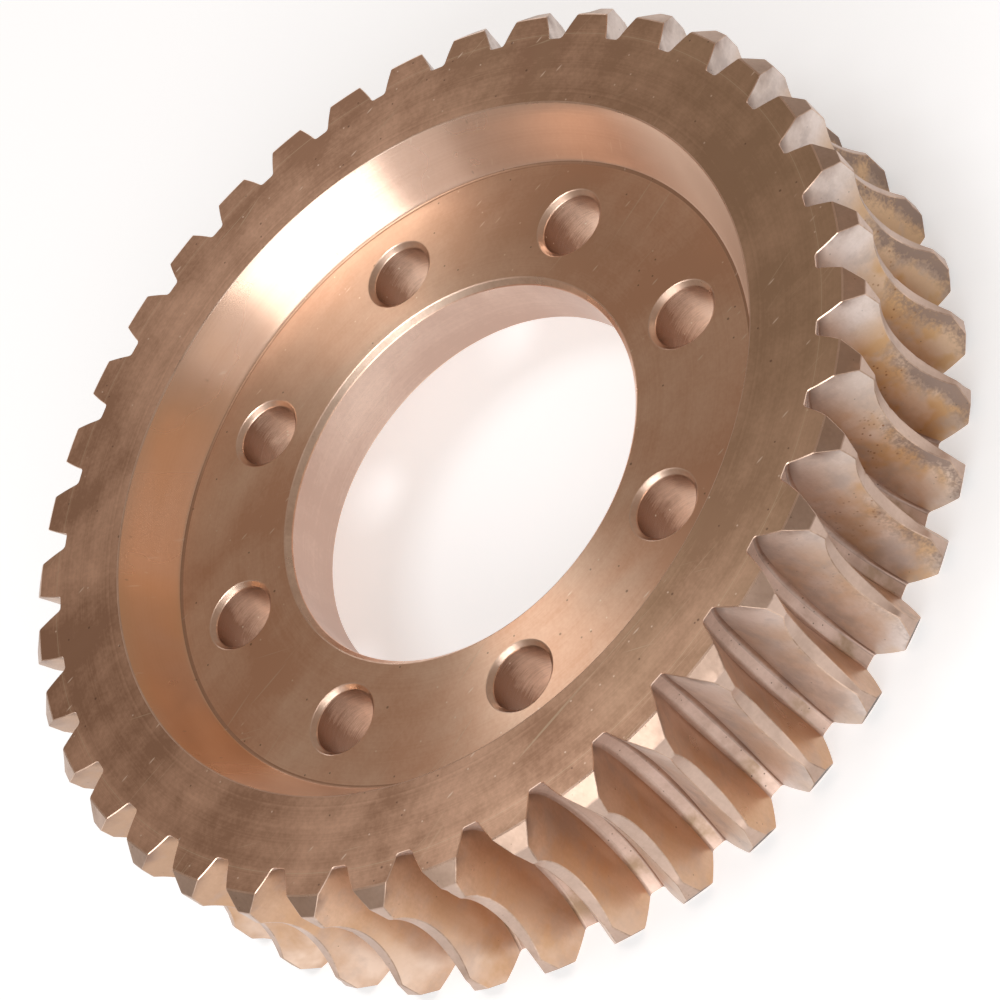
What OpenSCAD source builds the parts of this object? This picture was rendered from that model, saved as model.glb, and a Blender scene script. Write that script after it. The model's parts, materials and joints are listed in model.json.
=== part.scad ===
// Bronze worm wheel with throated, hobbed teeth, turned from one ring-shaped casting.
// It lies on its back face: the axis is Z, and the origin is the centre of the back face.

/* [Teeth] */
// Number of teeth
tooth_count = 38; // [36:1:42]
// Module of the teeth, in the middle plane of the face
tooth_module = 6; // [5.8:0.05:6.2]
// Pressure angle of the hob that cuts the teeth, in degrees
pressure_angle = 20; // [17:0.5:22]
// Pitch diameter of the worm, and of the hob
worm_pitch_d = 84; // [80:1:92]
// Number of threads on the worm
worm_starts = 1; // [1:1:2]
// Hand of the teeth
tooth_hand = "right"; // [right, left]
// Height of a tooth above the pitch circle in the middle plane, in modules
tip_factor = 1.2; // [1:0.05:1.25]
// Depth of a gap below the pitch circle in the middle plane, in modules
root_factor = 1.25; // [1.15:0.05:1.3]
// Width of the rounding at each side of a gap's floor
root_rounding = 1; // [0.4:0.1:1.4]
// Angle from the first bolt hole to the nearest gap, in degrees
gap_offset = 0.54; // [0:0.02:9]

/* [Rim] */
// Width of the toothed face, from the back face to the front face
face_width = 56; // [50:1:60]
// Height of the outer cylinder above the pitch circle
rim_rise = 12; // [10:0.5:13]
// Chamfer at the front and back corners of the rim, along the axis
edge_chamfer = 4; // [2:0.5:5]
// Chamfer at the back corner of the rim, across the axis
back_chamfer_t = 3; // [1:0.5:5]
// Radial thickness of the rim, from the corner of the web to the pitch circle
rim_t = 26.5; // [22:0.5:28]

/* [Web] */
// Depth of the recess in the front face
front_recess = 15; // [8:1:20]
// Thickness of the web that carries the bolts
web_t = 20; // [14:1:26]
// Slope of the conical recess walls, from the axis, in degrees
recess_angle = 30; // [15:1:34]
// Fillet in the corner between a recess wall and the web
web_fillet = 1.5; // [0.5:0.25:3]

/* [Bore] */
// Diameter of the bore
bore_d = 105; // [80:1:110]
// Chamfer at both ends of the bore
bore_chamfer = 1.5; // [0.5:0.25:3]

/* [Bolt holes] */
// Number of bolt holes
hole_count = 8; // [4:1:10]
// Diameter of a bolt hole
hole_d = 17; // [10:0.5:18]
// Diameter of the circle that the bolt holes lie on
hole_circle_d = 140; // [134:1:148]
// Chamfer at both ends of a bolt hole
hole_chamfer = 1.25; // [0.5:0.25:2]

/* [Hidden] */

// Colour of the machined bronze
bronze = [0.72, 0.5, 0.37];

// Facets of the round turned surfaces, and of the holes
turned_fn = 240;
hole_fn = 64;

// Overrun of a cutter past the surface that it cuts, so that no faces coincide
overrun = 1;
cap_height = 0.8;

// Sizes of the blank
pitch_r = tooth_module * tooth_count / 2;
outer_r = pitch_r + rim_rise;
web_corner_r = pitch_r - rim_t;
bore_r = bore_d / 2;
back_recess = face_width - front_recess - web_t;
web_back_z = back_recess;
web_front_z = web_back_z + web_t;
mid_z = face_width / 2;

// Sizes of the hob, whose axis lies across the wheel at the centre distance
worm_r = worm_pitch_d / 2;
centre_distance = pitch_r + worm_r;
hob_tip_r = worm_r + root_factor * tooth_module;
throat_r = worm_r - tip_factor * tooth_module;
// Advance of the hob's thread for one radian of turn, signed by the hand
thread_advance = (tooth_hand == "right" ? -1 : 1) * tooth_module * worm_starts / 2;
// Half the axial thickness of the hob's thread at the pitch radius
half_thread = PI * tooth_module / 4;
radian = 180 / PI;

// Half the width of the throat where it meets the outer cylinder
throat_half_w = sqrt(throat_r^2 - (centre_distance - outer_r)^2);
throat_half_angle = asin(throat_half_w / throat_r);
throat_steps = 14;
fillet_steps = 3;

// A gap is cut from sections across the wheel, with one just outside each edge of the throat
gap_end_z = mid_z + overrun;
gap_throat_z = throat_half_w + overrun / 2;
section_heights = concat(
    spaced(-gap_end_z, -gap_throat_z, 2),
    spaced(-gap_throat_z, gap_throat_z, 5),
    spaced(gap_throat_z, gap_end_z, 2),
    [gap_end_z]
);
section_count = len(section_heights);
// Places of a flank's points, as shares of the way from the floor to the top of the section
flank_shares = [0, 0.08, 0.35, 0.67, 1];
flank_n = len(flank_shares);
ring_n = 2 * flank_n;
search_steps = 30;

// Values from one number up to, but without, another
function spaced(from, to, steps) = [for (i = [0:steps - 1]) from + (to - from) * i / steps];

// Points along an arc, from one angle to another
function arc(centre, r, from, to, steps) =
    [for (i = [0:steps]) let (a = from + (to - from) * i / steps) centre + r * [cos(a), sin(a)]];

// Distance of the fillet's centre from the corner line, along the web
fillet_reach = web_fillet * tan((90 - recess_angle) / 2);

// Half section of the turned blank, as radius and height
function blank_profile() = concat(
    [
        [bore_r + bore_chamfer, web_back_z],
        [bore_r, web_back_z + bore_chamfer],
        [bore_r, web_front_z - bore_chamfer],
        [bore_r + bore_chamfer, web_front_z]
    ],
    arc([web_corner_r - fillet_reach, web_front_z + web_fillet], web_fillet,
        -90, -recess_angle, fillet_steps),
    [
        [web_corner_r + front_recess * tan(recess_angle), face_width],
        [outer_r - edge_chamfer, face_width],
        [outer_r, face_width - edge_chamfer]
    ],
    arc([centre_distance, mid_z], throat_r,
        180 - throat_half_angle, 180 + throat_half_angle, throat_steps),
    [
        [outer_r, edge_chamfer],
        [outer_r - back_chamfer_t, 0],
        [web_corner_r + back_recess * tan(recess_angle), 0]
    ],
    arc([web_corner_r - fillet_reach, web_back_z - web_fillet], web_fillet,
        recess_angle, 90, fillet_steps)
);

// Hob's flank in the plane at height z above the middle plane, at distance y from the wheel's axis.
// side is 1 for the flank at greater x and -1 for the other.
function hob_r(y, z) = norm([centre_distance - y, z]);
function hob_x(y, z, side) =
    thread_advance * atan2(z, centre_distance - y) / radian
    + side * (half_thread - (hob_r(y, z) - worm_r) * tan(pressure_angle));
function hob_slope(y, z, side) =
    thread_advance * z / hob_r(y, z)^2
    + side * tan(pressure_angle) * (centre_distance - y) / hob_r(y, z);

// The hob's flank and the wheel's flank touch where their common normal meets the pitch point
function contact_x(y, z, side) = (pitch_r - y) / hob_slope(y, z, side);
function contact_r(y, z, side) = norm([contact_x(y, z, side), y]);

// Distance y of the hob's flank point that cuts the wheel at radius r, found by halving a span
function contact_y(r, z, side, low, high, steps) =
    let (middle = (low + high) / 2)
    steps == 0 ? middle :
    contact_r(middle, z, side) < r
        ? contact_y(r, z, side, middle, high, steps - 1)
        : contact_y(r, z, side, low, middle, steps - 1);

// Height of the gap's floor, and of the wheel's tip surface, at height z above the middle plane
function floor_r(z) = centre_distance - sqrt(hob_tip_r^2 - z^2);
function tip_r(z) = abs(z) < throat_half_w ? centre_distance - sqrt(throat_r^2 - z^2) : outer_r;

// Angle of a point that touches the wheel at [x, y] after the hob's flank has moved to x
function rolled_angle(x, y, flank_x) = atan2(x, y) - (x - flank_x) / pitch_r * radian;

// Angle of the gap's flank at radius r: the corner of the hob cuts the root and its flank the rest
function flank_angle(r, z, side) =
    let (
        y0 = floor_r(z),
        x0 = contact_x(y0, z, side),
        corner_x = sign(x0) * sqrt(max(r^2 - y0^2, 0)),
        y = contact_y(r, z, side, y0, outer_r + rim_rise, search_steps)
    )
    r < norm([x0, y0])
        ? rolled_angle(corner_x, y0, hob_x(y0, z, side))
        : rolled_angle(contact_x(y, z, side), y, hob_x(y, z, side));

// One point of a flank: the first one, on the floor, stands in from the flank by the rounding
function gap_point(share, z, side) =
    let (
        r = floor_r(z) + share * (tip_r(z) + cap_height - floor_r(z)),
        inset = share == 0 ? side * root_rounding / r * radian : 0,
        a = flank_angle(r, z, side) - inset
    )
    [r * sin(a), r * cos(a), mid_z + z];

// One section: down the flank at smaller x, across the floor and up the other flank
function gap_section(z) = [
    for (i = [flank_n - 1:-1:0]) gap_point(flank_shares[i], z, -1),
    for (i = [0:flank_n - 1]) gap_point(flank_shares[i], z, 1)
];

gap_points = [for (z = section_heights) each gap_section(z)];

// Four-sided end cells between the two flanks, for the section that starts at a point
function end_cell(start, i) = [start + i, start + i + 1, start + ring_n - 2 - i, start + ring_n - 1 - i];

gap_faces = concat(
    [for (i = [0:flank_n - 2]) end_cell(0, i)],
    [
        for (i = [0:flank_n - 2])
            let (c = end_cell((section_count - 1) * ring_n, i)) [c[3], c[2], c[1], c[0]]
    ],
    [
        for (k = [0:section_count - 2], i = [0:ring_n - 1])
            let (
                a = k * ring_n + i,
                b = k * ring_n + (i + 1) % ring_n
            )
            each [[a, a + ring_n, b + ring_n], [a, b + ring_n, b]]
    ]
);

// The space between two teeth, centred on +Y
module tooth_gap() {
    polyhedron(points = gap_points, faces = gap_faces, convexity = 4);
}

module tooth_gaps() {
    for (i = [0:tooth_count - 1])
        rotate([0, 0, gap_offset - 90 + i * 360 / tooth_count])
            tooth_gap();
}

// Half section of the drill and its two countersinks, as radius and height
function hole_profile() =
    let (
        r = hole_d / 2,
        mouth = hole_chamfer + overrun
    )
    [
        [0, web_back_z - overrun],
        [r + mouth, web_back_z - overrun],
        [r, web_back_z + hole_chamfer],
        [r, web_front_z - hole_chamfer],
        [r + mouth, web_front_z + overrun],
        [0, web_front_z + overrun]
    ];

module bolt_holes() {
    for (i = [0:hole_count - 1])
        rotate([0, 0, i * 360 / hole_count])
            translate([hole_circle_d / 2, 0, 0])
                rotate_extrude($fn = hole_fn)
                    polygon(hole_profile());
}

module turned_blank() {
    rotate_extrude($fn = turned_fn)
        polygon(blank_profile());
}

module gear_wheel() {
    color(bronze)
        difference() {
            turned_blank();
            bolt_holes();
            tooth_gaps();
        }
}

gear_wheel();
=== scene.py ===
import json
import math

import bpy
import numpy as np
from mathutils import Matrix, Vector
from mathutils.geometry import delaunay_2d_cdt


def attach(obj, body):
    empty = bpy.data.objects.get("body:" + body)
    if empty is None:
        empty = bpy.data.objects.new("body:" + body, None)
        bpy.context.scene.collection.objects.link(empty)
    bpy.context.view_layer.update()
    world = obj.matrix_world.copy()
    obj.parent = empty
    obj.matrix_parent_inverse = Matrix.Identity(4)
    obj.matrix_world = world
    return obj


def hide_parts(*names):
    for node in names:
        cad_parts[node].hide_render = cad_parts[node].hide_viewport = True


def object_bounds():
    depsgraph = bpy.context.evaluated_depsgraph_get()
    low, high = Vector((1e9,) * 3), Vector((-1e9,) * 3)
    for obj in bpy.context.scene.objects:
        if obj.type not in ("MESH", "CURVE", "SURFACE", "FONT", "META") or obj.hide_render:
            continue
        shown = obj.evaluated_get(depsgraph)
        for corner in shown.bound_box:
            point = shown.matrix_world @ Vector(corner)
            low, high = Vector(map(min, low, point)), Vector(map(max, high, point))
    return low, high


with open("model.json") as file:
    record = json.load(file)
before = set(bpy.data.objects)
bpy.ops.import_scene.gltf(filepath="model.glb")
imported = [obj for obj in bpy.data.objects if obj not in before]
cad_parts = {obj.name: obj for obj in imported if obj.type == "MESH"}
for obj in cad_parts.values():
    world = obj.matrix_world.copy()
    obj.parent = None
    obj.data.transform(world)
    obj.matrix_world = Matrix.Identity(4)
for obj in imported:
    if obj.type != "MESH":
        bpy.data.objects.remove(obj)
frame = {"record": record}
cad_low, cad_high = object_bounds()

# The bronze worm wheel is meshed again here from the sizes of its CAD part, with fine teeth and
# broken edges. Lengths are in millimetres until a mesh, light or camera is made from them.
MM = 0.001
mounts = {mount["name"]: mount for mount in frame["record"]["mounts"]}

# Teeth and the hob that cuts them
TOOTH_COUNT = 38
MODULE = 6.0
PRESSURE_ANGLE = math.radians(20)
PRESSURE_TAN = math.tan(PRESSURE_ANGLE)
WORM_R = 42.0
TIP_FACTOR = 1.2
ROOT_FACTOR = 1.25
PITCH_R = MODULE * TOOTH_COUNT / 2
PITCH_ANGLE = 2 * math.pi / TOOTH_COUNT
CENTRE_DISTANCE = PITCH_R + WORM_R
HOB_TIP_R = WORM_R + ROOT_FACTOR * MODULE
THROAT_R = WORM_R - TIP_FACTOR * MODULE
THREAD_ADVANCE = -MODULE / 2
HALF_THREAD = math.pi * MODULE / 4
GAP_OFFSET = math.radians(0.54)
SEARCH_STEPS = 34

# Rim, recesses, web and bore
RIM_RISE = 12.0
RIM_T = 26.5
FACE_WIDTH = (cad_high.z - cad_low.z) / MM
MID_Z = FACE_WIDTH / 2
OUTER_R = PITCH_R + RIM_RISE
EDGE_CHAMFER = 4.0
BACK_CHAMFER_T = 3.0
WEB_CORNER_R = PITCH_R - RIM_T
WEB_FRONT_Z = mounts["web_front"]["pos_m"][2] / MM
WEB_BACK_Z = mounts["web_back"]["pos_m"][2] / MM
RECESS_ANGLE = math.radians(30)
WEB_FILLET = 1.5
BORE_R = mounts["bore"]["dims"]["r_mm"]
BORE_CHAMFER = 1.5
HOLE_R = mounts["bolt_circle"]["dims"]["hole_r_mm"]
HOLE_COUNT = mounts["bolt_circle"]["dims"]["count"]
HOLE_CIRCLE_R = mounts["bolt_circle"]["dims"]["pcd_mm"] / 2
HOLE_CHAMFER = 1.25
THROAT_HALF_W = math.sqrt(THROAT_R ** 2 - (CENTRE_DISTANCE - OUTER_R) ** 2)

# Broken edges and rounded gap corners
TIP_EDGE = 0.18
FACE_EDGE = 0.22
TURNED_EDGE = 0.3
BORE_EDGE = 0.18
HOLE_EDGE = 0.14
FILLET_H = 0.8
FILLET_W = 0.7

# Nicks in the edges of the tooth tips
NICK_COUNT = 150
NICK_DEPTH = (0.06, 0.3)
NICK_TRAIL = 0.7
NICK_SEED = 38

# Fineness of the mesh, and the angle between faces from which an edge is sharp
FLANK_ROWS = 10
FILLET_ROWS = 3
THROAT_ROWS = 17
LAND_ROWS = 5
CHAMFER_ROWS = 3
ROW_GAP = 0.16
WALL_SHARES = (0.25, 0.5, 0.75)
BORE_SHARES = (0.35, 0.65)
WEB_FILLET_STEPS = 5
# Strips of each recess's corner fillet that get the darker corner material, a painted shade
DARK_FILLET_STEPS = 3
TURN_SEGMENTS = 384
HOLE_SEGMENTS = 64
SHARP_ANGLE = math.radians(15)
FILL_TOLERANCE = 1e-6

# Scratches: their width as a share of their length, and how softly they end
SCRATCH_WIDTH = 0.022
SCRATCH_SOFTNESS = 0.05


def floor_radius(height):
    return CENTRE_DISTANCE - np.sqrt(HOB_TIP_R ** 2 - height ** 2)


def tip_radius(height):
    """Radius of the throat, the two lands and the two chamfers, from the height above the middle."""
    throat = CENTRE_DISTANCE - np.sqrt(THROAT_R ** 2 - np.minimum(np.abs(height), THROAT_HALF_W) ** 2)
    radius = np.where(np.abs(height) < THROAT_HALF_W, throat, OUTER_R)
    past = np.maximum(np.abs(height) - (MID_Z - EDGE_CHAMFER), 0)
    slope = np.where(height > 0, 1.0, BACK_CHAMFER_T / EDGE_CHAMFER)
    return radius - past * slope


def hob_x(y, height, side):
    depth = CENTRE_DISTANCE - y
    thickness = HALF_THREAD - (np.hypot(depth, height) - WORM_R) * PRESSURE_TAN
    return THREAD_ADVANCE * np.arctan2(height, depth) + side * thickness


def contact_x(y, height, side):
    """Where the hob's flank touches the wheel: its normal there passes through the pitch point."""
    depth = CENTRE_DISTANCE - y
    rho = np.hypot(depth, height)
    slope = THREAD_ADVANCE * height / rho ** 2 + side * PRESSURE_TAN * depth / rho
    return (PITCH_R - y) / slope


def flank_angle(radius, height, side):
    """Polar angle of a gap's flank, from the gap's middle, at each radius and height."""
    floor = floor_radius(height)
    low = np.broadcast_to(floor, radius.shape).copy()
    high = np.full(radius.shape, OUTER_R + MODULE)
    for _ in range(SEARCH_STEPS):
        middle = (low + high) / 2
        short = np.hypot(contact_x(middle, height, side), middle) < radius
        low = np.where(short, middle, low)
        high = np.where(short, high, middle)
    y = (low + high) / 2
    x = contact_x(y, height, side)
    by_flank = np.arctan2(x, y) - (x - hob_x(y, height, side)) / PITCH_R
    floor_x = contact_x(floor, height, side)
    corner_x = np.sign(floor_x) * np.sqrt(np.maximum(radius ** 2 - floor ** 2, 0))
    by_corner = np.arctan2(corner_x, floor) - (corner_x - hob_x(floor, height, side)) / PITCH_R
    return -np.where(radius < np.hypot(floor_x, floor), by_corner, by_flank)


def half_gap(height, side):
    """Radii and angles from the land's edge down one flank to the gap's floor, a row for each height."""
    floor = floor_radius(height)
    tip = tip_radius(height)
    tip_phi = flank_angle(tip, height, side)
    radii = [tip]
    angles = [tip_phi - side * TIP_EDGE / tip]
    base = floor + FILLET_H
    for share in np.linspace(0, 1, FLANK_ROWS):
        radius = (tip - TIP_EDGE) * (1 - share) + base * share
        radii.append(radius)
        angles.append(flank_angle(radius, height, side))
    base_phi = angles[-1]
    corner_phi = flank_angle(floor, height, side)
    inset_phi = corner_phi + side * FILLET_W / floor
    for share in np.linspace(0, 1, FILLET_ROWS + 2)[1:]:
        weights = ((1 - share) ** 2, 2 * share * (1 - share), share ** 2)
        radii.append(weights[0] * base + (1 - weights[0]) * floor)
        angles.append(weights[0] * base_phi + weights[1] * corner_phi + weights[2] * inset_phi)
    return np.array(radii).T, np.array(angles).T, tip_phi


def toothed_profile(height):
    """Radii, angles and zones of all the columns from one tooth's middle to the next one's."""
    near_r, near_phi, near_tip = half_gap(height, 1)
    far_r, far_phi, far_tip = half_gap(height, -1)
    tooth_middle = (near_tip + far_tip - PITCH_ANGLE) / 2
    gap_middle = (near_phi[:, -1] + far_phi[:, -1]) / 2
    tip = tip_radius(height)
    floor = floor_radius(height)

    def column(values):
        return np.asarray(values)[:, None]

    near_land = (tooth_middle + near_phi[:, 0]) / 2
    far_land = (tooth_middle + PITCH_ANGLE + far_phi[:, 0]) / 2
    radii = np.hstack([column(tip), column(tip), near_r, column(floor), far_r[:, ::-1], column(tip)])
    angles = np.hstack([column(tooth_middle), column(near_land), near_phi, column(gap_middle),
                        far_phi[:, ::-1], column(far_land)])
    half = ["land", "land", "tip_edge"] + ["flank"] * (FLANK_ROWS - 1) + ["root"] * (FILLET_ROWS + 1)
    sided = ("flank", "root")
    zones = [name + "_near" if name in sided else name for name in half] + ["floor", "floor"]
    zones += [name + "_far" if name in sided else name for name in half[::-1][:-1]] + ["land"]
    return radii, angles, zones


def enclosed(point, starts, ends):
    """Whether a point is inside the rings: a line from it to one side crosses an odd number of edges."""
    above = (starts[:, 1] > point[1]) != (ends[:, 1] > point[1])
    rise = np.where(above, ends[:, 1] - starts[:, 1], 1.0)
    crossing = starts[:, 0] + (point[1] - starts[:, 1]) / rise * (ends[:, 0] - starts[:, 0])
    return np.count_nonzero(above & (crossing > point[0])) % 2 == 1


class WheelMesh:
    """Points and faces of the wheel, each face with the name of its zone."""

    def __init__(self):
        self.points = []
        self.faces = []
        self.zones = []

    def add_points(self, x, y, z):
        start = len(self.points)
        x, y, z = np.broadcast_arrays(x, y, z)
        self.points.extend(zip(x.ravel().tolist(), y.ravel().tolist(), z.ravel().tolist()))
        return np.arange(start, start + x.size).reshape(x.shape)

    def add_strip(self, first, second, zone):
        """Four-sided faces between two rings of as many points. zone is a name or a list of names."""
        count = len(first)
        names = [zone] * count if isinstance(zone, str) else zone
        for i in range(count):
            j = (i + 1) % count
            self.faces.append((first[i], first[j], second[j], second[i]))
            self.zones.append(names[i])

    def fill_flat(self, loops, zone, facing_up):
        """Triangles between closed rings in one plane."""
        ids = [int(i) for loop in loops for i in loop]
        flat = [Vector(self.points[i][:2]) for i in ids]
        edges = []
        start = 0
        for loop in loops:
            count = len(loop)
            edges.extend((start + i, start + (i + 1) % count) for i in range(count))
            start += count
        made = delaunay_2d_cdt(flat, edges, [], 0, FILL_TOLERANCE, True)
        origins = made[3]
        xy = np.array([tuple(v) for v in flat])
        starts, ends = xy[[a for a, _ in edges]], xy[[b for _, b in edges]]
        for face in made[2]:
            corners = [origins[i][0] for i in face]
            if enclosed(xy[corners].mean(axis=0), starts, ends):
                picked = [ids[i] for i in corners]
                self.faces.append(tuple(picked if facing_up else picked[::-1]))
                self.zones.append(zone)


def ring(wheel, radius, z, segments=TURN_SEGMENTS, centre=(0.0, 0.0)):
    angle = np.arange(segments) * 2 * math.pi / segments
    return wheel.add_points(centre[0] + radius * np.cos(angle), centre[1] + radius * np.sin(angle), z)


def station_heights():
    """Heights of the rows of the toothed surface, with a close pair at each of its edges."""
    chamfer = MID_Z - EDGE_CHAMFER
    half = np.concatenate([
        np.linspace(0, THROAT_HALF_W - ROW_GAP, THROAT_ROWS),
        np.linspace(THROAT_HALF_W + ROW_GAP, chamfer - ROW_GAP, LAND_ROWS),
        np.linspace(chamfer + ROW_GAP, MID_Z - FACE_EDGE, CHAMFER_ROWS),
    ])
    return np.concatenate([-half[:0:-1], half])


def add_nicks(radius, zones):
    """Small dents knocked into the edges of the tooth tips."""
    chance = np.random.default_rng(NICK_SEED)
    edges = [i for i, zone in enumerate(zones) if zone == "tip_edge"]
    columns = len(zones)
    for _ in range(NICK_COUNT):
        row = int(chance.integers(1, radius.shape[0] - 1))
        column = int(chance.choice(edges)) + int(chance.integers(TOOTH_COUNT)) * columns
        depth = chance.uniform(*NICK_DEPTH)
        radius[row, column] -= depth
        radius[row, column + 1] -= depth * NICK_TRAIL


def add_teeth(wheel):
    """The toothed surface with its two broken face edges. Returns the outlines of the two faces."""
    heights = station_heights()
    radii, angles, zones = toothed_profile(heights)
    columns = radii.shape[1]
    turn = GAP_OFFSET + np.arange(TOOTH_COUNT) * PITCH_ANGLE
    radius = np.tile(radii, (1, TOOTH_COUNT))
    angle = np.tile(angles, (1, TOOTH_COUNT)) + np.repeat(turn, columns)[None, :]
    add_nicks(radius, zones)
    rows = wheel.add_points(radius * np.cos(angle), radius * np.sin(angle), (MID_Z + heights)[:, None])
    all_zones = zones * TOOTH_COUNT
    for i in range(len(heights) - 1):
        middle = abs(heights[i] + heights[i + 1]) / 2
        land = "land"
        if middle < THROAT_HALF_W:
            land = "throat"
        elif middle > MID_Z - EDGE_CHAMFER:
            land = "chamfer" if heights[i] > 0 else "shaded_back_chamfer"
        names = [land if zone == "land" else zone for zone in all_zones]
        wheel.add_strip(rows[i], rows[i + 1], names)

    outlines = []
    for row, height in ((0, -MID_Z), (-1, MID_Z)):
        radii, angles, _ = toothed_profile(np.array([height]))
        r = np.tile(radii[0], TOOTH_COUNT)
        a = np.tile(angles[0], TOOTH_COUNT) + np.repeat(turn, columns)
        x, y = r * np.cos(a), r * np.sin(a)
        tangent_x = np.roll(x, -1) - np.roll(x, 1)
        tangent_y = np.roll(y, -1) - np.roll(y, 1)
        length = np.hypot(tangent_x, tangent_y)
        inset_x = x - tangent_y / length * FACE_EDGE
        inset_y = y + tangent_x / length * FACE_EDGE
        outline = wheel.add_points(inset_x, inset_y, MID_Z + height)
        if height < 0:
            wheel.add_strip(outline, rows[row], "face_edge")
        else:
            wheel.add_strip(rows[row], outline, "face_edge")
        outlines.append(outline)
    return outlines


def arc(centre, radius, start, end, steps):
    """Radius and height along an arc, with angles in radians."""
    return [(centre[0] + radius * math.cos(a), centre[1] + radius * math.sin(a))
            for a in np.linspace(start, end, steps + 1)]


def recess_profile(face_z, web_z):
    """Radius and height of a recess, from its rounded edge on the face to the web."""
    up = 1 if face_z > web_z else -1
    depth = abs(face_z - web_z)
    top_r = WEB_CORNER_R + depth * math.tan(RECESS_ANGLE)
    wall = (math.sin(RECESS_ANGLE), math.cos(RECESS_ANGLE))
    reach = WEB_FILLET * math.tan((math.pi / 2 - RECESS_ANGLE) / 2)
    centre = (WEB_CORNER_R - reach, WEB_FILLET)
    fillet = arc(centre, WEB_FILLET, -RECESS_ANGLE, -math.pi / 2, WEB_FILLET_STEPS)
    edge = [(top_r + TURNED_EDGE, depth), (top_r + TURNED_EDGE * 0.25, depth - TURNED_EDGE * 0.1),
            (top_r - TURNED_EDGE * wall[0], depth - TURNED_EDGE * wall[1])]
    start = edge[-1]
    walls = [(start[0] + (fillet[0][0] - start[0]) * s, start[1] + (fillet[0][1] - start[1]) * s)
             for s in WALL_SHARES]
    points = edge + walls + fillet
    edge_strips = len(edge) - 1
    wall_strips = len(points) - 1 - edge_strips - DARK_FILLET_STEPS
    zones = ["turned_edge"] * edge_strips + ["recess"] * wall_strips
    zones += ["shaded_recess_corner"] * DARK_FILLET_STEPS
    return [(r, web_z + up * z) for r, z in points], zones


def bore_profile():
    """Radius and height from the front web face, down the bore, to the back web face."""
    corners = []
    for web_z, up in ((WEB_FRONT_Z, 1), (WEB_BACK_Z, -1)):
        corners.append([
            (BORE_R + BORE_CHAMFER + BORE_EDGE, web_z),
            (BORE_R + BORE_CHAMFER - BORE_EDGE, web_z - up * BORE_EDGE),
            (BORE_R + BORE_EDGE, web_z - up * (BORE_CHAMFER - BORE_EDGE)),
            (BORE_R, web_z - up * (BORE_CHAMFER + BORE_EDGE)),
        ])
    front, back = corners
    middle = [(BORE_R, WEB_FRONT_Z + (WEB_BACK_Z - WEB_FRONT_Z) * s) for s in BORE_SHARES]
    zones = ["turned_edge", "bore_chamfer", "turned_edge", "bore", "bore", "bore", "turned_edge",
             "bore_chamfer", "turned_edge"]
    return front + middle + back[::-1], zones


def add_turned(wheel, profile, zones):
    rings = [ring(wheel, r, z) for r, z in profile]
    for i, zone in enumerate(zones):
        wheel.add_strip(rings[i], rings[i + 1], zone)
    return rings[0], rings[-1]


def add_hole(wheel, centre):
    """One bolt hole with its two countersinks. Returns its rings on the two web faces."""
    top = HOLE_R + HOLE_CHAMFER
    half = [
        (top + HOLE_EDGE, 0.0),
        (top - HOLE_EDGE, HOLE_EDGE),
        (HOLE_R + HOLE_EDGE, HOLE_CHAMFER - HOLE_EDGE),
        (HOLE_R, HOLE_CHAMFER + HOLE_EDGE),
    ]
    profile = [(r, WEB_FRONT_Z - z) for r, z in half] + [(r, WEB_BACK_Z + z) for r, z in half[::-1]]
    zones = ["turned_edge", "countersink", "turned_edge", "hole",
             "turned_edge", "countersink", "turned_edge"]
    rings = [ring(wheel, r, z, HOLE_SEGMENTS, centre) for r, z in profile]
    for i, zone in enumerate(zones):
        wheel.add_strip(rings[i], rings[i + 1], zone)
    return rings[0], rings[-1]


def build_wheel():
    """The whole wheel as one closed mesh."""
    wheel = WheelMesh()
    back_outline, front_outline = add_teeth(wheel)
    front_profile, front_zones = recess_profile(FACE_WIDTH, WEB_FRONT_Z)
    front_edge, front_corner = add_turned(wheel, front_profile, front_zones)
    bore_top, bore_bottom = add_turned(wheel, *bore_profile())
    back_profile, back_zones = recess_profile(0.0, WEB_BACK_Z)
    back_corner, back_edge = add_turned(wheel, back_profile[::-1], back_zones[::-1])
    mouths = []
    for i in range(HOLE_COUNT):
        angle = 2 * math.pi * i / HOLE_COUNT
        centre = (HOLE_CIRCLE_R * math.cos(angle), HOLE_CIRCLE_R * math.sin(angle))
        mouths.append(add_hole(wheel, centre))
    wheel.fill_flat([front_outline, front_edge], "face", True)
    wheel.fill_flat([front_corner, bore_top] + [m[0] for m in mouths], "web", True)
    wheel.fill_flat([back_corner, bore_bottom] + [m[1] for m in mouths], "web", False)
    wheel.fill_flat([back_outline, back_edge], "face", False)
    return wheel


def wheel_object(wheel, zone_materials):
    """The mesh in metres, with a material for each zone, smooth except across its edges."""
    mesh = bpy.data.meshes.new("worm_wheel")
    points = (np.array(wheel.points) * MM).tolist()
    mesh.from_pydata(points, [], [tuple(int(i) for i in face) for face in wheel.faces])
    names = []
    for zone in wheel.zones:
        material = zone_materials[zone]
        if material.name not in names:
            names.append(material.name)
            mesh.materials.append(material)
    slots = [names.index(zone_materials[zone].name) for zone in wheel.zones]
    mesh.polygons.foreach_set("material_index", slots)
    mesh.polygons.foreach_set("use_smooth", [True] * len(mesh.polygons))
    mesh.set_sharp_from_angle(angle=SHARP_ANGLE)
    mesh.update()
    made = bpy.data.objects.new("worm_wheel", mesh)
    bpy.context.scene.collection.objects.link(made)
    return made


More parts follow.
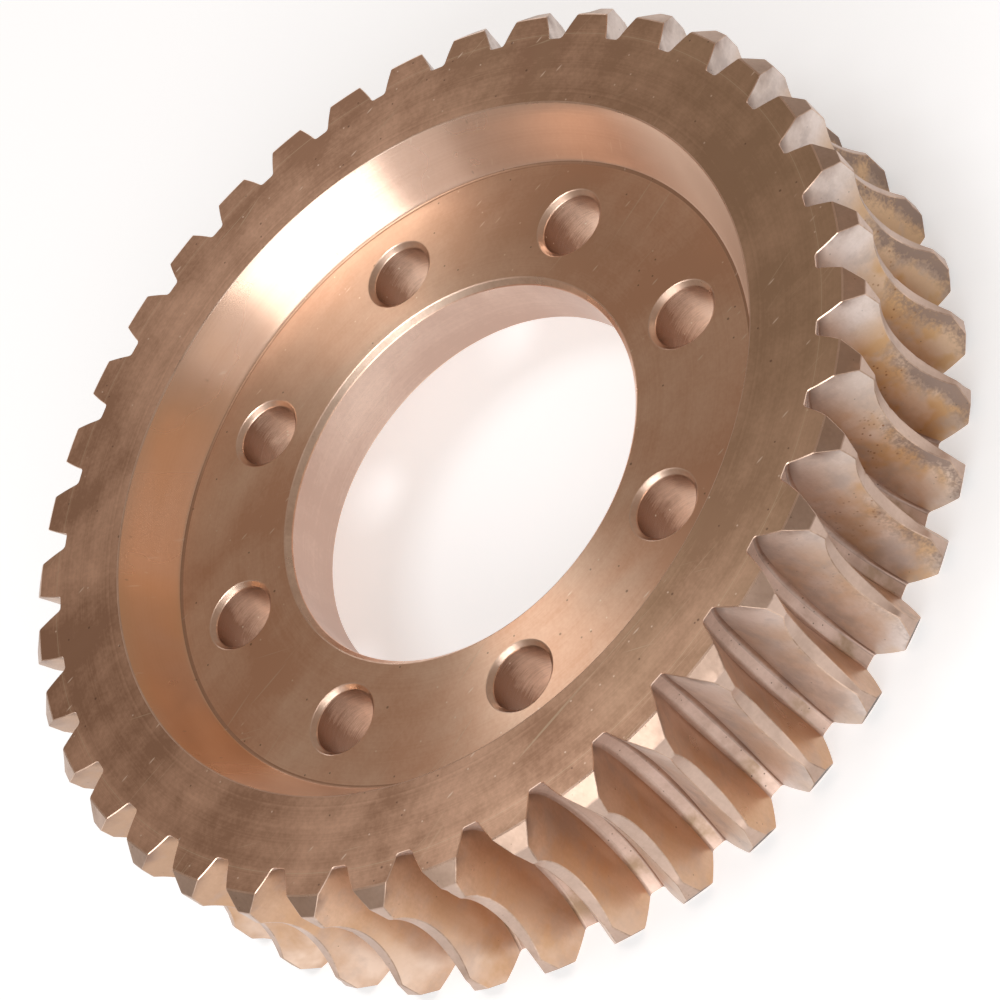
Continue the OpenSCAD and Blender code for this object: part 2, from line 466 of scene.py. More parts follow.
class Nodes:
    """Short calls for a material's nodes."""

    def __init__(self, name):
        self.material = bpy.data.materials.new(name)
        self.material.use_nodes = True
        self.tree = self.material.node_tree
        self.shader = self.tree.nodes["Principled BSDF"]

    def add(self, kind, **values):
        node = self.tree.nodes.new("ShaderNode" + kind)
        for key, value in values.items():
            setattr(node, key, value)
        return node

    def link(self, source, target):
        self.tree.links.new(source, target)

    def put(self, socket, value):
        if isinstance(value, bpy.types.NodeSocket):
            self.link(value, socket)
        else:
            socket.default_value = value

    def math(self, operation, a, b=0.0):
        node = self.add("Math", operation=operation)
        self.put(node.inputs[0], a)
        self.put(node.inputs[1], b)
        return node.outputs[0]

    def plus(self, *values):
        total = values[0]
        for value in values[1:]:
            total = self.math("ADD", total, value)
        return total

    def minus(self, a, b):
        return self.math("SUBTRACT", a, b)

    def times(self, a, b):
        return self.math("MULTIPLY", a, b)

    def greater(self, a, b):
        return self.math("MAXIMUM", a, b)

    def distance(self, a, b):
        return self.math("ABSOLUTE", self.minus(a, b))

    def ramp(self, value, low, high, out_low=0.0, out_high=1.0):
        """A value spread from one range to another, and held at the ends."""
        node = self.add("MapRange")
        self.put(node.inputs["Value"], value)
        node.inputs["From Min"].default_value = low
        node.inputs["From Max"].default_value = high
        node.inputs["To Min"].default_value = out_low
        node.inputs["To Max"].default_value = out_high
        return node.outputs["Result"]

    def noise(self, vector, scale, detail, roughness, distortion=0.0):
        node = self.add("TexNoise")
        self.put(node.inputs["Vector"], vector)
        node.inputs["Scale"].default_value = scale
        node.inputs["Detail"].default_value = detail
        node.inputs["Roughness"].default_value = roughness
        node.inputs["Distortion"].default_value = distortion
        return node.outputs["Fac"]

    def rings(self, along, density, detail, roughness):
        """Noise that changes along one distance only."""
        line = self.joined(self.times(along, density), 0.0, 0.0)
        return self.noise(line, 1.0, detail, roughness)

    def mix(self, share, a, b):
        node = self.add("Mix", data_type="RGBA")
        self.put(node.inputs["Factor"], share)
        for socket, value in ((node.inputs[6], a), (node.inputs[7], b)):
            self.put(socket, (*value, 1.0) if isinstance(value, tuple) else value)
        return node.outputs[2]

    def place(self):
        """The object's own coordinates, in metres in the wheel's frame."""
        return self.add("TexCoord").outputs["Object"]

    def stretched(self, vector, scale, rotation=(0.0, 0.0, 0.0)):
        node = self.add("Mapping")
        self.put(node.inputs["Vector"], vector)
        node.inputs["Scale"].default_value = scale
        node.inputs["Rotation"].default_value = rotation
        return node.outputs["Vector"]

    def polar(self):
        """The place itself, its radius from the axis and its height, in metres."""
        place = self.place()
        split = self.add("SeparateXYZ")
        self.link(place, split.inputs[0])
        x, y, z = split.outputs
        radius = self.math("SQRT", self.plus(self.times(x, x), self.times(y, y)))
        return place, radius, z

    def joined(self, x, y, z):
        node = self.add("CombineXYZ")
        for socket, value in zip(node.inputs, (x, y, z)):
            self.put(socket, value)
        return node.outputs[0]

    def bump(self, height, strength, distance, normal=None):
        node = self.add("Bump")
        node.inputs["Strength"].default_value = strength
        node.inputs["Distance"].default_value = distance
        self.link(height, node.inputs["Height"])
        if normal is not None:
            self.link(normal, node.inputs["Normal"])
        return node.outputs["Normal"]

    def turned_by(self, vector, angle):
        """A place turned about the wheel's axis."""
        return self.stretched(vector, (1.0, 1.0, 1.0), (0.0, 0.0, angle))

    def toward(self, place, azimuth, low, high):
        """A slow change across the wheel, from 0 at one distance to 1 at the other along an azimuth."""
        a = math.radians(azimuth)
        node = self.add("VectorMath", operation="DOT_PRODUCT")
        self.link(place, node.inputs[0])
        node.inputs[1].default_value = (math.cos(a), math.sin(a), 0.0)
        return self.ramp(node.outputs["Value"], low, high)

    def specks(self, place, scale, size, share, flat=False):
        """Small spots in a share of the cells: 1 in a spot and 0 outside."""
        cells = self.add("TexVoronoi", feature="F1", voronoi_dimensions="2D" if flat else "3D")
        self.put(cells.inputs["Vector"], place)
        cells.inputs["Scale"].default_value = scale
        near = self.ramp(cells.outputs["Distance"], size, size * 0.5)
        pick = self.add("SeparateColor")
        self.link(cells.outputs["Color"], pick.inputs[0])
        return self.times(near, self.math("LESS_THAN", pick.outputs[0], share))

    def scratches(self, place, angle, scale, limit):
        """Long thin lines along one direction: 1 on a line and 0 beside it."""
        length = scale * SCRATCH_WIDTH
        along = self.stretched(self.turned_by(place, angle), (scale, length, length))
        return self.ramp(self.noise(along, 1.0, 1.0, 0.4, 0.2), limit, limit + SCRATCH_SOFTNESS)

    def arc_radius(self, arc_r, z):
        """Radius of the hollow that an arc round the worm's axis leaves in the wheel at a height."""
        height = self.minus(z, MID_Z * MM)
        reach = self.minus((arc_r * MM) ** 2, self.times(height, height))
        return self.minus(CENTRE_DISTANCE * MM, self.math("SQRT", self.greater(reach, 0.0)))

    def above_floor(self, radius, z):
        """Height of a point above the floor of its gap, in metres."""
        return self.minus(radius, self.arc_radius(HOB_TIP_R, z))

    def below_tip(self, radius, z):
        """Depth of a point below the throat or the land of its tooth, in metres."""
        return self.minus(self.math("MINIMUM", self.arc_radius(THROAT_R, z), OUTER_R * MM), radius)


# Direction of the wiping marks on the turned faces, in radians
WIPE_ANGLE = -0.36

# Ranges of a noise that a ramp spreads: most of it, and its middle
WIDE = (0.3, 0.7)
MIDDLE = (0.35, 0.65)

# Colours of the stains and marks
FLECK = (1.0, 0.84, 0.7)
CREAM = (0.84, 0.66, 0.54)
GRIME = (0.25, 0.18, 0.15)
RUST = (0.28, 0.13, 0.055)
DARK_TIP_CORNER = (0.24, 0.14, 0.1)
# Dirt and painted shade in the root corners at the front
DIRT_AND_SHADE = (0.17, 0.1, 0.07)
REAR_STAIN = (0.34, 0.23, 0.14)

# Azimuths of the teeth that are the oldest in look, of the palest ones and of the best lit ones
AGED_SIDE = -80.0
PALE_SIDE = -100.0
LIT_SIDE = 95.0

# Heights above the back face, in metres, between which the marks of the flanks fade in
GOLD_Z = (0.047, 0.036)
CREAM_Z = (0.034, 0.008)
GRIME_Z = (0.038, 0.024)
DARK_TIP_CORNER_Z = (0.0505, 0.0555)
DIRT_AND_SHADE_Z = (0.044, 0.054)
RUST_MIDDLE_Z = 0.027
REAR_MIDDLE_Z = 0.006

# Distances, in metres, over which marks fade: below the tip, above the floor, and from their middle
GRIME_DEPTH = (0.0062, 0.0014)
DARK_TIP_CORNER_DEPTH = (0.0075, 0.0035)
DIRT_AND_SHADE_HEIGHT = (0.0034, 0.0002)
RUST_REACH = (0.012, 0.004)
REAR_REACH = (0.0055, 0.002)
SCRIBED_REACH = (0.00016, 0.00006)

# The gloss of a turned surface is stretched across its rings
QUARTER_TURN = 0.25

# Depths of the bumps, in metres
GROOVE_DEPTH = 0.00004
GRAIN_DEPTH = 0.00002
DENT_DEPTH = 0.0001
DRILL_DEPTH = 0.00012
FEED_DEPTH = 0.00003


def scaled(colour, factor):
    return tuple(min(1.0, c * factor) for c in colour)


def set_metal(nodes, roughness, anisotropic=0.0, metallic=1.0):
    """The shader's values for bare metal, with a gloss that follows the turning marks."""
    shader = nodes.shader
    nodes.put(shader.inputs["Metallic"], metallic)
    shader.inputs["Anisotropic"].default_value = anisotropic
    shader.inputs["Anisotropic Rotation"].default_value = QUARTER_TURN
    if anisotropic:
        tangent = nodes.add("Tangent", direction_type="RADIAL", axis="Z")
        nodes.link(tangent.outputs[0], shader.inputs["Tangent"])
    nodes.put(shader.inputs["Roughness"], roughness)


class TurnedPattern:
    """The noises that a turned surface's colour, gloss and bumps share."""

    def __init__(self, nodes):
        self.place, self.radius, height = nodes.polar()
        along = nodes.plus(self.radius, height)
        self.fine_rings = nodes.rings(along, 1400.0, 3.0, 0.75)
        self.broad_rings = nodes.rings(along, 170.0, 2.0, 0.5)
        self.clouds = nodes.noise(self.place, 27.0, 2.0, 0.45, 0.6)
        self.blots = nodes.noise(self.place, 95.0, 3.0, 0.6, 0.5)
        self.grain = nodes.noise(self.place, 900.0, 1.0, 0.6)
        wiped = nodes.stretched(nodes.turned_by(self.place, WIPE_ANGLE), (75.0, 16.0, 16.0))
        self.wiped = nodes.noise(wiped, 1.0, 3.0, 0.55, 0.3)


def turned_tone(nodes, turned, stain, rings):
    """How dark each point of a turned surface is: clouds, wiped bands, blots and rings."""
    return nodes.plus(
        nodes.ramp(turned.clouds, *WIDE, 0.0, stain),
        nodes.ramp(turned.wiped, *WIDE, stain * -0.3, stain * 0.3),
        nodes.ramp(turned.blots, *WIDE, stain * 0.08, stain * 0.42),
        nodes.ramp(turned.fine_rings, *MIDDLE, 0.0, rings),
        nodes.ramp(turned.broad_rings, *MIDDLE, 0.0, rings * 0.7),
        nodes.ramp(turned.grain, *MIDDLE, -0.07, 0.07))


def add_tarnish_and_reflection(nodes, place, colour, tint, azimuth, least, most):
    """A veil of tarnish that grows toward an azimuth; on the recess wall it is partly a painted warm
    reflection.
    """
    veil = nodes.noise(nodes.turned_by(place, 1.9), 24.0, 2.0, 0.5, 0.4)
    veil = nodes.times(nodes.ramp(veil, *MIDDLE), nodes.toward(place, azimuth, 0.0, 0.11))
    veil = nodes.greater(veil, nodes.toward(place, azimuth, 0.04, 0.15))
    return nodes.mix(nodes.ramp(veil, 0.0, 1.0, least, most), colour, tint)


def wiping_marks(nodes, turned):
    """Fine crossing scratches, in the places that were wiped most."""
    marks = nodes.greater(nodes.scratches(turned.place, WIPE_ANGLE, 1100.0, 0.72),
                          nodes.scratches(turned.place, WIPE_ANGLE - 0.2, 900.0, 0.73))
    marks = nodes.greater(marks, nodes.scratches(turned.place, WIPE_ANGLE + 0.7, 1200.0, 0.75))
    return nodes.times(marks, nodes.ramp(turned.wiped, 0.48, 0.62))


def add_flecks(nodes, turned, colour, dark, amount):
    """Bare bright specks and dashes, and dark spots."""
    place = turned.place
    dashes = nodes.stretched(nodes.turned_by(place, WIPE_ANGLE), (1.0, 0.2, 0.2))
    bright = nodes.greater(nodes.specks(place, 170.0, 0.055, 0.16, True),
                           nodes.specks(dashes, 300.0, 0.08, 0.14, True))
    bright = nodes.times(bright, nodes.ramp(turned.blots, 0.4, 0.48))
    colour = nodes.mix(nodes.times(bright, amount), colour, FLECK)
    spots = nodes.greater(nodes.specks(place, 240.0, 0.08, 0.06, True),
                          nodes.specks(place, 90.0, 0.04, 0.1, True))
    return nodes.mix(nodes.times(spots, amount), colour, scaled(dark, 0.35))


def add_scribed_line(nodes, radius, colour, scribed_r, light):
    """A faint line that a tool left round a face."""
    line = nodes.ramp(nodes.distance(radius, scribed_r), *SCRIBED_REACH)
    return nodes.mix(nodes.times(line, 0.25), colour, scaled(light, 1.5))


# Turned surfaces: shade is a painted shade toward one side: an azimuth, the distances along it between
# which the tone darkens, and by how much; tarnish is a tint, an azimuth, and the least and the most of it;
# the last argument is a side lightened as a painted reflection: an azimuth, two distances, a tint, and how
# metallic the surface is there.
def turned_bronze(name, light, dark, rough, anisotropic, rings=0.3, stain=0.5, scratch=0.5, speck=0.5,
                  dent=0.25, wear=1.0, metallic=1.0, shade=None, scribed_r=None, tarnish=None,
                  painted_reflection_side=None):
    """A lathe-turned surface: rings of changing tone, clouds of tarnish, specks and scratches."""
    nodes = Nodes(name)
    turned = TurnedPattern(nodes)
    tone = turned_tone(nodes, turned, stain, rings)
    # Painted shade: the tone darkens toward one side of the surface.
    if shade is not None:
        azimuth, low, high, amount = shade
        tone = nodes.plus(tone, nodes.times(nodes.toward(turned.place, azimuth, low, high), amount))
    colour = nodes.mix(nodes.ramp(tone, 0.05, 1.05), light, dark)
    if tarnish is not None:
        colour = add_tarnish_and_reflection(nodes, turned.place, colour, *tarnish)
    # A painted reflection: one side lighter, in a paler tint, and less metallic.
    if painted_reflection_side is not None:
        azimuth, low, high, tint, dull = painted_reflection_side
        side = nodes.toward(turned.place, azimuth, low, high)
        colour = nodes.mix(side, colour, tint)
        metallic = nodes.ramp(side, 0.0, 1.0, metallic, dull)
    gloss = [nodes.ramp(turned.clouds, *WIDE, rough - 0.05 * wear, rough + 0.06 * wear),
             nodes.ramp(turned.wiped, *WIDE, -0.03 * wear, 0.03 * wear)]
    if scratch:
        marks = wiping_marks(nodes, turned)
        colour = nodes.mix(nodes.times(marks, scratch), colour, scaled(light, 1.45))
        gloss.append(nodes.ramp(marks, 0.0, 1.0, 0.0, -0.08))
    colour = add_flecks(nodes, turned, colour, dark, speck)
    if scribed_r is not None:
        colour = add_scribed_line(nodes, turned.radius, colour, scribed_r, light)
    nodes.link(colour, nodes.shader.inputs["Base Color"])
    set_metal(nodes, nodes.plus(*gloss), anisotropic, metallic)
    normal = nodes.bump(turned.fine_rings, 0.5, GROOVE_DEPTH)
    normal = nodes.bump(turned.grain, 0.35 * wear, GRAIN_DEPTH, normal)
    if dent:
        normal = nodes.bump(turned.blots, dent, DENT_DEPTH, normal)
    nodes.link(normal, nodes.shader.inputs["Normal"])
    return nodes.material


def rim_face():
    return turned_bronze("rim_face", (0.9, 0.6, 0.44), (0.42, 0.25, 0.165), rough=0.46,
                         anisotropic=0.45, rings=0.22, stain=0.75, scratch=0.3, speck=0.65,
                         shade=(-45.0, -0.03, 0.12, 0.2), scribed_r=0.1163,
                         tarnish=((0.55, 0.4, 0.26), -100.0, 0.0, 0.75))


def web_face():
    return turned_bronze("web_face", (1.0, 0.76, 0.59), (0.76, 0.47, 0.32), rough=0.36,
                         anisotropic=0.86, rings=0.18, stain=0.75, scratch=0.25, speck=0.7,
                         shade=(-60.0, -0.02, 0.09, 0.15),
                         tarnish=((0.58, 0.41, 0.29), -10.0, 0.0, 0.65))


# The recess wall's orange tarnish toward azimuth 95 is partly a painted warm reflection.
def recess_wall():
    return turned_bronze("recess_wall", (0.87, 0.65, 0.53), (0.76, 0.53, 0.41), rough=0.28,
                         anisotropic=0.75, rings=0.4, stain=0.3, scratch=0.0, speck=0.3, dent=0.0,
                         wear=0.2, metallic=0.84, tarnish=((0.85, 0.48, 0.25), 95.0, 0.05, 1.0),
                         painted_reflection_side=(-88.0, 0.074, 0.087, (0.98, 0.77, 0.63), 0.5))


# The fillet in the corner of a recess: darker than the wall, as painted shade.
def shaded_recess_corner():
    return turned_bronze("shaded_recess_corner", (0.56, 0.35, 0.24), (0.42, 0.25, 0.17), rough=0.35,
                         anisotropic=0.3, rings=0.2, stain=0.3, scratch=0.1)


def bore_wall():
    return turned_bronze("bore_wall", (0.76, 0.57, 0.47), (0.57, 0.4, 0.325), rough=0.3, anisotropic=0.6,
                         rings=0.3, stain=0.7, scratch=0.0, speck=0.5)


def drilled_wall():
    """The wall of a drilled hole: rings down its depth, painted shade just below the mouth, painted light
    and shade by the way the wall faces, and specks of swarf.
    """
    light = (0.97, 0.72, 0.56)
    dark = (0.31, 0.18, 0.12)
    nodes = Nodes("drilled_wall")
    place, _, height = nodes.polar()
    rings = nodes.noise(nodes.stretched(place, (120.0, 120.0, 2600.0)), 1.0, 5.0, 0.8, 0.1)
    blots = nodes.noise(place, 170.0, 4.0, 0.65, 0.3)
    # Painted shade in the top of the hole, just below its mouth.
    mouth = nodes.ramp(height, WEB_FRONT_Z * MM - 0.012, WEB_FRONT_Z * MM - 0.003)
    # Painted light and shade: the wall is lighter where it faces one way and darker where it faces the
    # other.
    painted_light_by_facing = nodes.toward(nodes.add("NewGeometry").outputs["Normal"], 120.0, 0.6, -0.35)
    tone = nodes.plus(
        nodes.ramp(rings, *WIDE, -0.2, 0.2),
        nodes.ramp(blots, *MIDDLE, -0.1, 0.15),
        painted_light_by_facing,
        nodes.times(mouth, 0.25))
    colour = nodes.mix(nodes.ramp(tone, 0.0, 1.0), light, dark)
    swarf = nodes.specks(place, 500.0, 0.16, 0.12)
    colour = nodes.mix(nodes.times(swarf, 0.5), colour, scaled(light, 1.5))
    nodes.link(colour, nodes.shader.inputs["Base Color"])
    set_metal(nodes, nodes.ramp(rings, *WIDE, 0.28, 0.42))
    nodes.link(nodes.bump(rings, 1.0, DRILL_DEPTH), nodes.shader.inputs["Normal"])
    return nodes.material


class CutPattern:
    """The noises that a hobbed surface's colour, gloss and bumps share."""

    def __init__(self, nodes):
        self.place, self.radius, self.height = nodes.polar()
        self.clouds = nodes.noise(self.place, 50.0, 4.0, 0.6, 0.2)
        self.blots = nodes.noise(self.place, 110.0, 4.0, 0.6, 0.1)
        self.grain = nodes.noise(self.place, 1100.0, 1.0, 0.6)
        self.feed = nodes.noise(nodes.stretched(self.place, (900.0, 900.0, 90.0)), 1.0, 2.0, 0.6)


def add_gold(nodes, cut, colour, dark, tint, share):
    """Golden tarnish behind the front of the flanks, and painted shade on the best lit teeth."""
    patches = nodes.noise(cut.place, 70.0, 3.0, 0.6, 0.1)
    side = nodes.greater(nodes.toward(cut.place, AGED_SIDE, 0.02, 0.09), share)
    side = nodes.times(side, nodes.ramp(cut.height, *GOLD_Z))
    # Painted shade: the best lit teeth are darkened.
    colour = nodes.mix(nodes.toward(cut.place, LIT_SIDE, 0.075, 0.125), colour, scaled(dark, 0.85))
    spread = nodes.greater(nodes.ramp(patches, 0.36, 0.6), nodes.toward(cut.place, AGED_SIDE, 0.07, 0.13))
    return nodes.mix(nodes.times(side, spread), colour, tint)


def add_cream(nodes, cut, colour):
    """Pale clouds on the back half of the flanks."""
    behind = nodes.times(nodes.ramp(cut.height, *CREAM_Z), nodes.ramp(cut.clouds, 0.38, 0.6))
    behind = nodes.times(behind, nodes.toward(cut.place, PALE_SIDE, 0.06, -0.04))
    return nodes.mix(nodes.times(behind, 0.85), colour, CREAM)


def add_grime(nodes, cut, colour, aged):
    """A grainy dark band below the tips of the aged teeth."""
    depth = nodes.below_tip(cut.radius, cut.height)
    grime = nodes.times(aged, nodes.ramp(depth, *GRIME_DEPTH))
    grime = nodes.times(grime, nodes.ramp(cut.height, *GRIME_Z))
    uneven = nodes.plus(nodes.ramp(cut.blots, 0.4, 0.6, -0.35, 0.4),
                        nodes.ramp(cut.grain, 0.4, 0.6, -0.25, 0.25), grime)
    return nodes.mix(nodes.ramp(nodes.times(uneven, grime), 0.05, 1.0, 0.0, 0.85), colour, GRIME)


def add_rust(nodes, cut, colour, aged):
    """Rusty specks in the middle of the aged teeth."""
    middle = nodes.times(aged, nodes.ramp(nodes.distance(cut.height, RUST_MIDDLE_Z), *RUST_REACH))
    rust = nodes.times(nodes.specks(cut.place, 760.0, 0.3, 0.4), middle)
    return nodes.mix(nodes.times(rust, 0.85), colour, RUST)


def add_dark_tip_corners(nodes, cut, colour):
    """The dark front corners of the tips."""
    depth = nodes.below_tip(cut.radius, cut.height)
    corner = nodes.times(nodes.ramp(cut.height, *DARK_TIP_CORNER_Z), nodes.ramp(depth, *DARK_TIP_CORNER_DEPTH))
    darkened = nodes.times(corner, nodes.ramp(cut.blots, 0.4, 0.6, 0.5, 1.3))
    return nodes.mix(nodes.times(darkened, 0.75), colour, DARK_TIP_CORNER)


def add_dirt_and_shade(nodes, cut, colour):
    """Dirt and painted shade in the root corners near the front face."""
    height = nodes.above_floor(cut.radius, cut.height)
    root_dirt_and_shade = nodes.times(nodes.ramp(height, *DIRT_AND_SHADE_HEIGHT), nodes.ramp(cut.height, *DIRT_AND_SHADE_Z))
    return nodes.mix(nodes.times(root_dirt_and_shade, 0.8), colour, DIRT_AND_SHADE)


def add_rear_stain(nodes, cut, colour):
    """A brown stain at the back end of the gap floors."""
    rear = nodes.ramp(nodes.distance(cut.height, REAR_MIDDLE_Z), *REAR_REACH)
    rear = nodes.times(rear, nodes.ramp(cut.blots, 0.42, 0.58, 0.25, 1.0))
    return nodes.mix(nodes.times(rear, 0.8), colour, REAR_STAIN)


def add_pores(nodes, cut, colour, dark, amount, share):
    pores = nodes.greater(nodes.specks(cut.place, 620.0, 0.15, share),
                          nodes.specks(cut.place, 300.0, 0.085, share))
    return nodes.mix(nodes.times(pores, amount), colour, scaled(dark, 0.2))


# Hobbed surfaces: golden is the tint of the tarnish on a flank and the least share of it; pits is the
# share of the cells that hold a pore, and pore is how dark each one is.
def cut_bronze(name, light, dark, stain, rough, stain_share=0.5, pore=0.5, pits=0.1, golden=None,
               metallic=1.0, rear_stain=False):
    """A hobbed or cut surface: soft blotches, stains, pores, and fine marks along the tooth."""
    nodes = Nodes(name)
    cut = CutPattern(nodes)
    tone = nodes.plus(nodes.ramp(cut.clouds, *MIDDLE), nodes.ramp(cut.feed, *MIDDLE, -0.12, 0.12),
                      nodes.ramp(cut.grain, *MIDDLE, -0.15, 0.15))
    colour = nodes.mix(tone, light, dark)
    if golden is not None:
        colour = add_gold(nodes, cut, colour, dark, *golden)
        colour = add_cream(nodes, cut, colour)
    colour = nodes.mix(nodes.times(nodes.ramp(cut.blots, 0.5, 0.66), stain_share), colour, stain)
    if golden is not None:
        aged = nodes.toward(cut.place, AGED_SIDE, 0.05, 0.09)
        colour = add_grime(nodes, cut, colour, aged)
        colour = add_rust(nodes, cut, colour, aged)
        colour = add_dark_tip_corners(nodes, cut, colour)
        colour = add_dirt_and_shade(nodes, cut, colour)
    if rear_stain:
        colour = add_rear_stain(nodes, cut, colour)
    colour = add_pores(nodes, cut, colour, dark, pore, pits)
    nodes.link(colour, nodes.shader.inputs["Base Color"])
    set_metal(nodes, nodes.ramp(cut.blots, *WIDE, rough - 0.06, rough + 0.08), 0.0, metallic)
    normal = nodes.bump(cut.grain, 0.4, FEED_DEPTH)
    normal = nodes.bump(cut.feed, 0.4, FEED_DEPTH, normal)
    nodes.link(normal, nodes.shader.inputs["Normal"])
    return nodes.material


def broken_edge():
    return cut_bronze("broken_edge", (0.9, 0.68, 0.55), (0.76, 0.55, 0.43), (0.66, 0.45, 0.34), rough=0.3,
                      stain_share=0.4, pore=0.2)


def bore_edge():
    return cut_bronze("bore_edge", (0.95, 0.76, 0.63), (0.8, 0.6, 0.48), (0.56, 0.4, 0.3), rough=0.3,
                      stain_share=0.4, pore=0.2)


def tooth_land():
    return cut_bronze("tooth_land", (0.58, 0.43, 0.35), (0.49, 0.355, 0.285), (0.42, 0.31, 0.25),
                      rough=0.33, stain_share=0.5, pore=0.4)


def tip_edge():
    return cut_bronze("tip_edge", (0.7, 0.52, 0.41), (0.4, 0.28, 0.21), (0.24, 0.16, 0.12), rough=0.4,
                      stain_share=0.6, pore=0.3)


def rim_chamfer():
    return cut_bronze("rim_chamfer", (0.6, 0.44, 0.35), (0.5, 0.36, 0.28), (0.4, 0.29, 0.23), rough=0.36,
                      stain_share=0.4, pore=0.5)


# The back chamfer faces down to the floor: near black, as painted shade.
def shaded_back_chamfer():
    return cut_bronze("shaded_back_chamfer", (0.16, 0.11, 0.08), (0.1, 0.07, 0.05), (0.08, 0.06, 0.05), rough=0.5,
                      metallic=0.4)


def flank_near():
    return cut_bronze("flank_near", (0.67, 0.44, 0.3), (0.54, 0.34, 0.22), (0.48, 0.37, 0.32), rough=0.33,
                      stain_share=0.35, pore=0.5, pits=0.07, golden=((0.6, 0.35, 0.18), 0.5))


def flank_far():
    return cut_bronze("flank_far", (0.78, 0.68, 0.63), (0.66, 0.56, 0.5), (0.48, 0.41, 0.38), rough=0.45,
                      stain_share=0.55, pore=0.6, pits=0.1, golden=((0.6, 0.38, 0.2), 0.3), metallic=0.72)


def gap_floor():
    return cut_bronze("gap_floor", (0.66, 0.5, 0.43), (0.54, 0.4, 0.33), (0.42, 0.3, 0.24), rough=0.5,
                      stain_share=0.5, pore=0.9, pits=0.4, rear_stain=True)


# The fillet between a gap's floor and its near flank: a little darker than the floor, as painted shade in
# the crease.
def root_near():
    return cut_bronze("root_near", (0.58, 0.43, 0.36), (0.47, 0.34, 0.28), (0.36, 0.26, 0.21), rough=0.45,
                      stain_share=0.5, pore=0.9, pits=0.3, rear_stain=True)


# The fillet between a gap's floor and its far flank: darker, as painted shade in the crease.
def root_far():
    return cut_bronze("root_far", (0.5, 0.375, 0.32), (0.38, 0.28, 0.235), (0.26, 0.18, 0.15), rough=0.45,
                      stain_share=0.5, pore=0.9, pits=0.3)


def make_materials():
    """A material for each zone of the wheel."""
    land = tooth_land()
    edge = broken_edge()
    return {
        "land": land, "throat": land, "chamfer": rim_chamfer(), "shaded_back_chamfer": shaded_back_chamfer(),
        "tip_edge": tip_edge(), "face_edge": edge, "turned_edge": edge, "countersink": edge,
        "flank_near": flank_near(), "flank_far": flank_far(),
        "root_near": root_near(), "root_far": root_far(), "floor": gap_floor(),
        "recess": recess_wall(), "shaded_recess_corner": shaded_recess_corner(),
        "bore": bore_wall(), "bore_chamfer": bore_edge(), "hole": drilled_wall(),
        "face": rim_face(), "web": web_face(),
    }


# Camera, from the photograph: where it stands and how it is turned
CAMERA_PLACE = Vector((-811.94, -387.17, 856.89)) * MM
CAMERA_RIGHT = Vector((-0.21938756, -0.78589563, -0.57813248))
CAMERA_DOWN = Vector((-0.71677966, 0.53184116, -0.45096774))
FOCAL_PIXELS = 4883.7
PHOTO_PIXELS = 1000.0
SENSOR_MM = 36.0


def add_camera():
    """The camera that was fitted to the photograph."""
    data = bpy.data.cameras.new("photo_camera")
    data.sensor_width = SENSOR_MM
    data.lens = FOCAL_PIXELS / PHOTO_PIXELS * SENSOR_MM
    data.clip_start = 0.05
    data.clip_end = 20.0
    camera = bpy.data.objects.new("photo_camera", data)
    right = CAMERA_RIGHT.normalized()
    up = -CAMERA_DOWN.normalized()
    back = right.cross(up).normalized()
    turn = Matrix((right, up, back)).transposed()
    camera.matrix_world = Matrix.Translation(CAMERA_PLACE) @ turn.to_4x4()
    bpy.context.scene.collection.objects.link(camera)
    bpy.context.scene.camera = camera


# Floor, in metres: half its width, and its height, a hair below the back face of the wheel
FLOOR_HALF = 6.0
FLOOR_Z = -0.0001


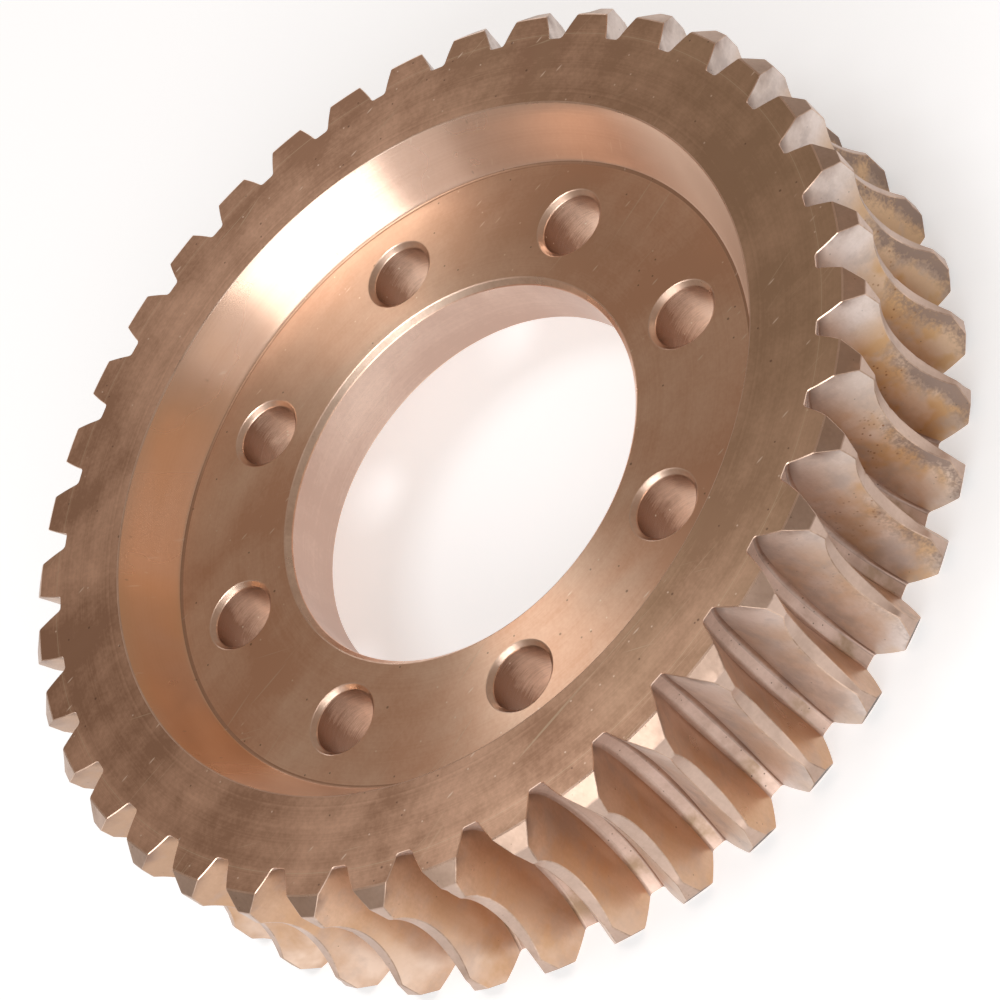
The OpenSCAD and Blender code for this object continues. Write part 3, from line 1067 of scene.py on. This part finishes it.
def add_floor():
    """A plain pale floor that shines a little, so that it stays light in the wheel's shade."""
    corners = [(x * FLOOR_HALF, y * FLOOR_HALF, FLOOR_Z) for x, y in ((-1, -1), (1, -1), (1, 1), (-1, 1))]
    mesh = bpy.data.meshes.new("floor")
    mesh.from_pydata(corners, [], [(0, 1, 2, 3)])
    nodes = Nodes("floor")
    nodes.shader.inputs["Base Color"].default_value = (0.74, 0.77, 0.8, 1.0)
    nodes.shader.inputs["Roughness"].default_value = 0.9
    nodes.shader.inputs["Emission Color"].default_value = (1.0, 1.0, 1.0, 1.0)
    nodes.shader.inputs["Emission Strength"].default_value = 0.5
    mesh.materials.append(nodes.material)
    floor = bpy.data.objects.new("floor", mesh)
    bpy.context.scene.collection.objects.link(floor)


# Lights: name, azimuth and elevation in degrees, distance, width and height in metres, watts, colour
SOFTBOXES = [
    ("key", 177, 27, 1.5, 1.3, 0.95, 11.5, (1.0, 1.0, 1.0)),
    ("glow", 178, 22, 1.9, 4.0, 1.6, 9, (0.95, 0.97, 1.0)),
    ("top", 77, 76, 1.2, 0.45, 0.45, 3.4, (1.0, 1.0, 1.0)),
    ("warm_card", -90, 12, 1.4, 1.4, 0.6, 0.5, (1.0, 0.45, 0.15)),
    ("rim_card", 5, 12, 1.4, 0.5, 0.5, 0.6, (1.0, 1.0, 1.0)),
]
WORLD_STRENGTH = 0.3
WORLD_COLOUR = (1.0, 0.8, 0.66)


def add_softbox(name, azimuth, elevation, distance, width, height, power, colour):
    """An area light that looks at the wheel from a direction, in degrees round and above the wheel."""
    data = bpy.data.lights.new(name, "AREA")
    data.shape = "RECTANGLE"
    data.size = width
    data.size_y = height
    data.energy = power
    data.color = colour
    light = bpy.data.objects.new(name, data)
    a, e = math.radians(azimuth), math.radians(elevation)
    direction = Vector((math.cos(a) * math.cos(e), math.sin(a) * math.cos(e), math.sin(e)))
    light.location = direction * distance + Vector((0, 0, MID_Z * MM))
    light.rotation_mode = "QUATERNION"
    light.rotation_quaternion = direction.to_track_quat("Z", "Y")
    bpy.context.scene.collection.objects.link(light)


def add_world(strength, colour):
    world = bpy.data.worlds.new("studio")
    world.use_nodes = True
    background = world.node_tree.nodes["Background"]
    background.inputs["Color"].default_value = (*colour, 1.0)
    background.inputs["Strength"].default_value = strength
    bpy.context.scene.world = world


wheel = wheel_object(build_wheel(), make_materials())
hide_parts("gear_wheel")
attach(wheel, "root")

add_floor()
bpy.context.scene.view_settings.view_transform = "Standard"
add_world(WORLD_STRENGTH, WORLD_COLOUR)
for softbox in SOFTBOXES:
    add_softbox(*softbox)
add_camera()
